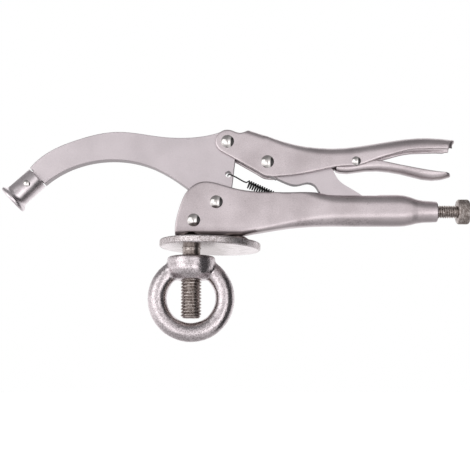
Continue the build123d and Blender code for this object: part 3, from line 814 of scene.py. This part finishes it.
front_hook = [SPRING_EYE + Vector(offset) for offset in FRONT_HOOK]
front_hook += [spring_point(COIL_START - 1.3, 0.5), spring_point(COIL_START - 0.5, 1.6)]
coil = [coil_point(step / POINTS_PER_COIL) for step in range(COIL_TURNS * POINTS_PER_COIL + 1)]
rear_end = [spring_point(COIL_END + 0.6, 1.6), spring_point(COIL_END + 1.4, 0.4),
            spring_point(spring_length - 2.4), spring_point(spring_length - 1.6)]
return_coil = wire_piece("return_coil", front_hook + coil + rear_end, WIRE_R, 10, wire_finish)
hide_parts("return_spring")
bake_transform(return_coil)
print("spring:", COIL_TURNS, "turns,", len(return_coil.data.vertices), "points")

# %% [markdown]
# ## The floor
# A pale disc below the clamp stands for the studio's floor.  It is very wide and as white as
# the backdrop, so its edge doesn't show, and it glows a little, so that it stays pale without
# a lamp of its own.  It is kept out of reflections, because the room is made for them.

# %% Floor
FLOOR_Z = -0.16
FLOOR_R = 9.0
FLOOR_GLOW = 0.75
floor_mesh = bmesh.new()
bmesh.ops.create_circle(floor_mesh, cap_ends=True, segments=96, radius=FLOOR_R)
floor_data = bpy.data.meshes.new("studio_floor")
floor_mesh.to_mesh(floor_data)
floor_mesh.free()
studio_floor = bpy.data.objects.new("studio_floor", floor_data)
studio_floor.location = (0, 0, FLOOR_Z)
studio_floor.visible_glossy = False
bpy.context.scene.collection.objects.link(studio_floor)
floor_finish = Finish("pale_floor", (0.9, 0.9, 0.9), 0.9, metallic=0.0)
floor_finish.feed("Roughness", 0.85 + floor_finish.noise(40) * 0.1)
floor_finish.shader.inputs["Emission Color"].default_value = (1, 1, 1, 1)
floor_finish.shader.inputs["Emission Strength"].default_value = FLOOR_GLOW
floor_data.materials.append(floor_finish.material)
print("floor at", FLOOR_Z)

# %% [markdown]
# ## The room
# A product studio is a white room, but metal only looks like metal when it also has something
# dark to mirror.  So what the lens sees directly is white, and what the metal sees is a room
# that is brightest a little below the horizon and dark grey overhead, with one dark side, one
# dark strip and a brighter side.  Real boards round the clamp would do it too, but a formula
# of the ray's direction has no edges to get into view.

# %% Room
BACKDROP_WHITE = 1.0
KEY_GAIN = 0.35
DARK_SIDE, DARK_STRIP = 0.95, 0.90
ROOM_BLACK = (0.01, 0.01, 0.011, 1)
# brightness of the room from straight down (0) to straight up (1)
ROOM_BANDS = ((0.0, 0.46), (0.20, 0.70), (0.33, 1.08), (0.42, 1.24), (0.50, 1.18),
              (0.58, 1.00), (0.67, 0.70), (0.80, 0.34), (1.0, 0.24))
ROOM_TINT = (1.0, 0.972, 0.985)
bpy.context.scene.view_settings.view_transform = "Standard"
world = bpy.data.worlds.new("studio")
bpy.context.scene.world = world
room = Graph(world)
ray = room.node("ShaderNodeTexCoord", {}, {}, "Generated")
ray_x = room.node("ShaderNodeSeparateXYZ", {}, {0: ray}, "X")
ray_y = room.node("ShaderNodeSeparateXYZ", {}, {0: ray}, "Y")
ray_z = room.node("ShaderNodeSeparateXYZ", {}, {0: ray}, "Z")
bands = room.node("ShaderNodeValToRGB",
                  {"stops": [(z, (*(level * tint for tint in ROOM_TINT), 1)) for z, level in ROOM_BANDS]},
                  {"Fac": ray_z * 0.5 + 0.5})
# a ray's x runs to the right, y away from the lens and z up
dark_side = room.step(ray_x, 0.52, 0.66) * (1 - room.step(ray_y, 0.0, 0.5))
key_side = room.step(ray_x, -0.05, 0.30) * (1 - room.step(ray_y, -0.5, 0.2))
dark_strip = (room.step(ray_x, -0.10, -0.06) * (1 - room.step(ray_x, 0.06, 0.10))
              * room.step(ray_z, -0.45, -0.38) * (1 - room.step(ray_z, 0.02, 0.08))
              * (1 - room.step(ray_y, -0.3, 0.0)))
dark = dark_side * DARK_SIDE + dark_strip * DARK_STRIP
shaded = room.node("ShaderNodeMix", {"data_type": "RGBA", "clamp_factor": True},
                   {0: dark, 6: bands, 7: ROOM_BLACK}, 2)
seen_directly = room.node("ShaderNodeLightPath", {}, {}, "Is Camera Ray")
lit = room.node("ShaderNodeBackground", {},
                {"Color": shaded, "Strength": 1 + key_side * KEY_GAIN})
white = room.node("ShaderNodeBackground", {},
                  {"Color": (1, 1, 1, 1), "Strength": BACKDROP_WHITE})
either = room.node("ShaderNodeMixShader", {}, {0: seen_directly, 1: lit, 2: white})
room.links.new(either.socket, room.nodes["World Output"].inputs["Surface"])
print("room bands:", len(ROOM_BANDS))


# %% [markdown]
# ## The panels
# Three soft panels add the light itself: one low in front for the undersides, one at the left
# for the flat sides, and one high behind for the top edges.  They are large and weak, because
# a small strong lamp burns a white patch into flat satin plate.

# %% Panels
def panel(name, place, aim, width, height, power):
    """A rectangular light, in metres and watts, that points from its place at its aim."""
    light = bpy.data.lights.new(name, "AREA")
    light.shape = "RECTANGLE"
    light.size = width
    light.size_y = height
    light.energy = power
    lamp = bpy.data.objects.new(name, light)
    lamp.location = place
    lamp.rotation_euler = (Vector(aim) - Vector(place)).to_track_quat("-Z", "Y").to_euler()
    lamp.visible_camera = False
    bpy.context.scene.collection.objects.link(lamp)


panel("front_low", (-0.15, -1.1, -0.35), aim=(0.02, 0, 0.01), width=1.6, height=0.6, power=1.6)
panel("front_left", (-1.0, -0.9, 0.35), aim=(0, 0, 0.02), width=1.0, height=1.0, power=3.0)
panel("back_top", (0.1, 0.8, 0.8), aim=(0.03, 0, 0.02), width=1.4, height=1.0, power=4.0)
